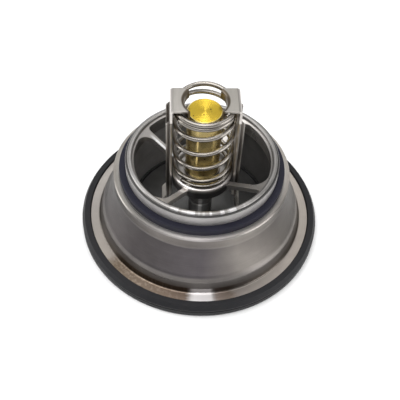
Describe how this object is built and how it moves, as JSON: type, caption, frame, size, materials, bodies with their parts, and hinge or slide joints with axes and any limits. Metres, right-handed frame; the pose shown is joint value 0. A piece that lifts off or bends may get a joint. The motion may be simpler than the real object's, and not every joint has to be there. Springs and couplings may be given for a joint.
{
  "type": "engine thermostat",
  "caption": "Sleeve-type coolant thermostat for a heavy engine: steel bell with a rubber-edged flange, sliding sleeve on a spider, brass wax element and coil spring held by stirrups.",
  "frame": {"origin": "on the axis, at the underside of the flange seal on which the part stands", "axes": "+Z along the axis towards the ears over the spring; +X through the right-hand stirrup; the picture looks from -Y and above"},
  "size_m": [0.1082, 0.1082, 0.0745],
  "materials": {
    "drawn_steel": "drawn and turned stainless sheet, satin",
    "stamped_steel": "stamped stainless sheet",
    "carrier_steel": "pressed ring, duller",
    "stirrup_steel": "stamped strip, satin",
    "sleeve_steel": "ground tube",
    "turned_steel": "turned and ground",
    "spring_wire": "bright drawn wire",
    "cup_brass": "turned, bright on top",
    "guide_brass": "turned",
    "flange_rubber": "moulded, matt",
    "neck_rubber": "moulded, slight sheen",
    "inner_rubber": "moulded, matt",
    "wax": "solid wax"
  },
  "bodies": {
    "housing": {"bell_housing": "drawn_steel", "flange_seal": "flange_rubber", "seal_carrier": "carrier_steel", "neck_seal": "neck_rubber", "seat_disc": "stamped_steel", "seat_seal": "inner_rubber", "bottom_bridge": "stamped_steel", "piston_boss": "turned_steel", "piston": "turned_steel", "stirrup_right": "stirrup_steel", "stirrup_left": "stirrup_steel", "return_spring": "spring_wire"},
    "sleeve_valve": {"valve_sleeve": "sleeve_steel", "spider": "stamped_steel", "brass_cup": "cup_brass", "wax_charge": "wax", "squeeze_boot": "inner_rubber", "piston_guide": "guide_brass", "guide_wiper": "inner_rubber", "retaining_ring": "spring_wire"}
  },
  "joints": [
    {"name": "sleeve_lift", "type": "slide", "parent": "housing", "child": "sleeve_valve", "axis": [0, 0, 1], "range_m": [0, 0.009], "stiffness_N_per_m": 1500, "springref_m": -0.02, "deforming": ["return_spring"]}
  ]
}
